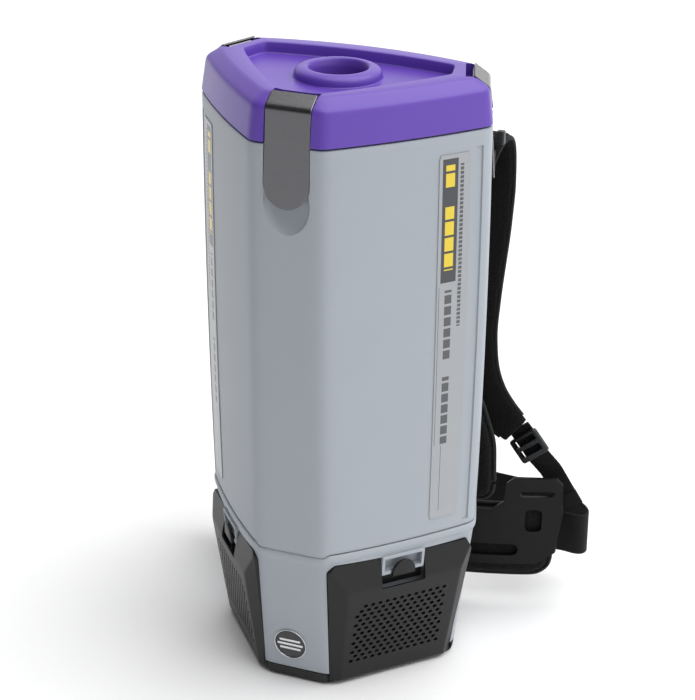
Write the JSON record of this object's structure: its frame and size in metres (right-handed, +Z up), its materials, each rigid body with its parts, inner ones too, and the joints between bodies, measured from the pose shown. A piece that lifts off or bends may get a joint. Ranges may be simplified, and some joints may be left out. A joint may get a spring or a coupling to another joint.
{
  "type": "backpack vacuum cleaner",
  "caption": "Backpack vacuum: tall faceted canister on a moulded base, latched lid with hose port, exhaust covers, filters, motor and a padded shoulder and hip harness.",
  "frame": {"origin": "on the floor, centre of the flat underside, straight below the hose port's axis", "axes": "+Z up along the canister; -Y towards the outward front facet with its latch; +Y towards the wearer's back; +X towards the machine's right side as seen from the front"},
  "size_m": [0.419, 0.3812, 0.6002],
  "materials": {
    "back_pad": "mesh",
    "backplate": "satin",
    "badge": "printed",
    "bag_collar": "matte",
    "base_bumper": "satin",
    "base_housing": "fine moulded grain",
    "belt_webbing_left": "woven",
    "belt_webbing_right": "woven",
    "body_shell": "fine moulded grain",
    "cloth_filter": "micro cloth",
    "cover_tab_left": "satin",
    "cover_tab_right": "satin",
    "exhaust_cover_left": "satin",
    "exhaust_cover_right": "satin",
    "exhaust_filter_left": "pleated",
    "exhaust_filter_right": "pleated",
    "filter_bag": "matte",
    "grab_loop": "woven",
    "hip_bolt_left": "zinc plated",
    "hip_bolt_right": "zinc plated",
    "hip_pad": "mesh",
    "hip_plate": "satin",
    "inlet_filter": "open foam",
    "ladder_lock_left": "satin",
    "ladder_lock_right": "satin",
    "latch_front": "brushed",
    "latch_left": "brushed",
    "latch_pin_front": "drawn",
    "latch_pin_left": "drawn",
    "latch_pin_right": "drawn",
    "latch_right": "brushed",
    "lid": "fine moulded grain",
    "lid_gasket": "matte",
    "lower_webbing_left": "woven",
    "lower_webbing_right": "woven",
    "motor_case": "cast",
    "motor_deck": "satin",
    "motor_gasket": "matte",
    "motor_mount": "matte",
    "motor_rotor": "machined",
    "plate_screw_lower_left": "zinc plated",
    "plate_screw_lower_right": "zinc plated",
    "plate_screw_upper_left": "zinc plated",
    "plate_screw_upper_right": "zinc plated",
    "power_gland": "matte",
    "rocker_switch": "satin",
    "shoulder_strap_left": "mesh",
    "shoulder_strap_right": "mesh",
    "side_label_left": "satin",
    "side_label_right": "satin",
    "sternum_plug": "satin",
    "sternum_socket": "satin",
    "sternum_webbing_left": "woven",
    "sternum_webbing_right": "woven",
    "strap_keeper_left": "satin",
    "strap_keeper_right": "satin",
    "switch_box": "satin",
    "waist_plug": "satin",
    "waist_socket": "satin"
  },
  "bodies": {
    "canister": {"back_pad": "back_pad", "backplate": "backplate", "badge": "badge", "bag_collar": "bag_collar", "base_bumper": "base_bumper", "base_housing": "base_housing", "belt_webbing_left": "belt_webbing_left", "body_shell": "body_shell", "cloth_filter": "cloth_filter", "exhaust_filter_left": "exhaust_filter_left", "exhaust_filter_right": "exhaust_filter_right", "filter_bag": "filter_bag", "grab_loop": "grab_loop", "hip_bolt_left": "hip_bolt_left", "hip_bolt_right": "hip_bolt_right", "hip_pad": "hip_pad", "hip_plate": "hip_plate", "inlet_filter": "inlet_filter", "ladder_lock_left": "ladder_lock_left", "ladder_lock_right": "ladder_lock_right", "lower_webbing_left": "lower_webbing_left", "lower_webbing_right": "lower_webbing_right", "motor_case": "motor_case", "motor_deck": "motor_deck", "motor_gasket": "motor_gasket", "motor_mount": "motor_mount", "plate_screw_lower_left": "plate_screw_lower_left", "plate_screw_lower_right": "plate_screw_lower_right", "plate_screw_upper_left": "plate_screw_upper_left", "plate_screw_upper_right": "plate_screw_upper_right", "power_gland": "power_gland", "shoulder_strap_left": "shoulder_strap_left", "shoulder_strap_right": "shoulder_strap_right", "side_label_left": "side_label_left", "side_label_right": "side_label_right", "sternum_socket": "sternum_socket", "sternum_webbing_left": "sternum_webbing_left", "strap_keeper_left": "strap_keeper_left", "strap_keeper_right": "strap_keeper_right", "switch_box": "switch_box", "waist_socket": "waist_socket"},
    "lid": {"lid": "lid", "lid_gasket": "lid_gasket", "latch_pin_front": "latch_pin_front", "latch_pin_right": "latch_pin_right", "latch_pin_left": "latch_pin_left"},
    "latch_front_plate": {"latch_front": "latch_front"},
    "latch_right_plate": {"latch_right": "latch_right"},
    "latch_left_plate": {"latch_left": "latch_left"},
    "cover_right": {"exhaust_cover_right": "exhaust_cover_right"},
    "cover_left": {"exhaust_cover_left": "exhaust_cover_left"},
    "tab_right": {"cover_tab_right": "cover_tab_right"},
    "tab_left": {"cover_tab_left": "cover_tab_left"},
    "rotor": {"motor_rotor": "motor_rotor"},
    "waist_plug_end": {"waist_plug": "waist_plug", "belt_webbing_right": "belt_webbing_right"},
    "sternum_plug_end": {"sternum_plug": "sternum_plug", "sternum_webbing_right": "sternum_webbing_right"},
    "rocker": {"rocker_switch": "rocker_switch"}
  },
  "joints": [
    {"name": "lid_lift", "type": "slide", "parent": "canister", "child": "lid", "axis": [0, 0, 1], "range_m": [0, 0.12]},
    {"name": "latch_front_flip", "type": "hinge", "parent": "lid", "child": "latch_front_plate", "pos_m": [0, -0.10112, 0.59472], "axis": [-1, 0, 0], "range_deg": [0, 110]},
    {"name": "latch_right_flip", "type": "hinge", "parent": "lid", "child": "latch_right_plate", "pos_m": [0.11867, 0.04037, 0.59472], "axis": [0.3239, -0.9461, 0], "range_deg": [0, 110]},
    {"name": "latch_left_flip", "type": "hinge", "parent": "lid", "child": "latch_left_plate", "pos_m": [-0.11867, 0.04037, 0.59472], "axis": [0.3239, 0.9461, 0], "range_deg": [0, 110]},
    {"name": "cover_right_tilt", "type": "hinge", "parent": "canister", "child": "cover_right", "pos_m": [0.07828, -0.02998, 0.00745], "axis": [0.6329, 0.7742, -0.0004], "range_deg": [0, 60]},
    {"name": "cover_left_tilt", "type": "hinge", "parent": "canister", "child": "cover_left", "pos_m": [-0.07828, -0.02998, 0.00745], "axis": [0.6329, -0.7742, 0.0004], "range_deg": [0, 60]},
    {"name": "tab_right_press", "type": "hinge", "parent": "cover_right", "child": "tab_right", "pos_m": [0.09266, -0.04168, 0.11665], "axis": [-0.6329, -0.7742, 0.0004], "range_deg": [0, 10], "stiffness_Nm_per_rad": 0.05},
    {"name": "tab_left_press", "type": "hinge", "parent": "cover_left", "child": "tab_left", "pos_m": [-0.09266, -0.04168, 0.11665], "axis": [-0.6329, 0.7742, -0.0004], "range_deg": [0, 10], "stiffness_Nm_per_rad": 0.05},
    {"name": "rotor_spin", "type": "hinge", "parent": "canister", "child": "rotor", "pos_m": [0, 0, 0.0258], "axis": [0, 0, 1], "continuous": true},
    {"name": "waist_buckle_slide", "type": "slide", "parent": "canister", "child": "waist_plug_end", "axis": [1, 0, 0], "range_m": [0, 0.03]},
    {"name": "sternum_buckle_slide", "type": "slide", "parent": "canister", "child": "sternum_plug_end", "axis": [1, 0, 0], "range_m": [0, 0.02]},
    {"name": "rocker_tilt", "type": "hinge", "parent": "canister", "child": "rocker", "pos_m": [-0.16788, 0.14453, 0.095], "axis": [-0.9207, 0.3902, 0], "range_deg": [-5, 5]}
  ]
}
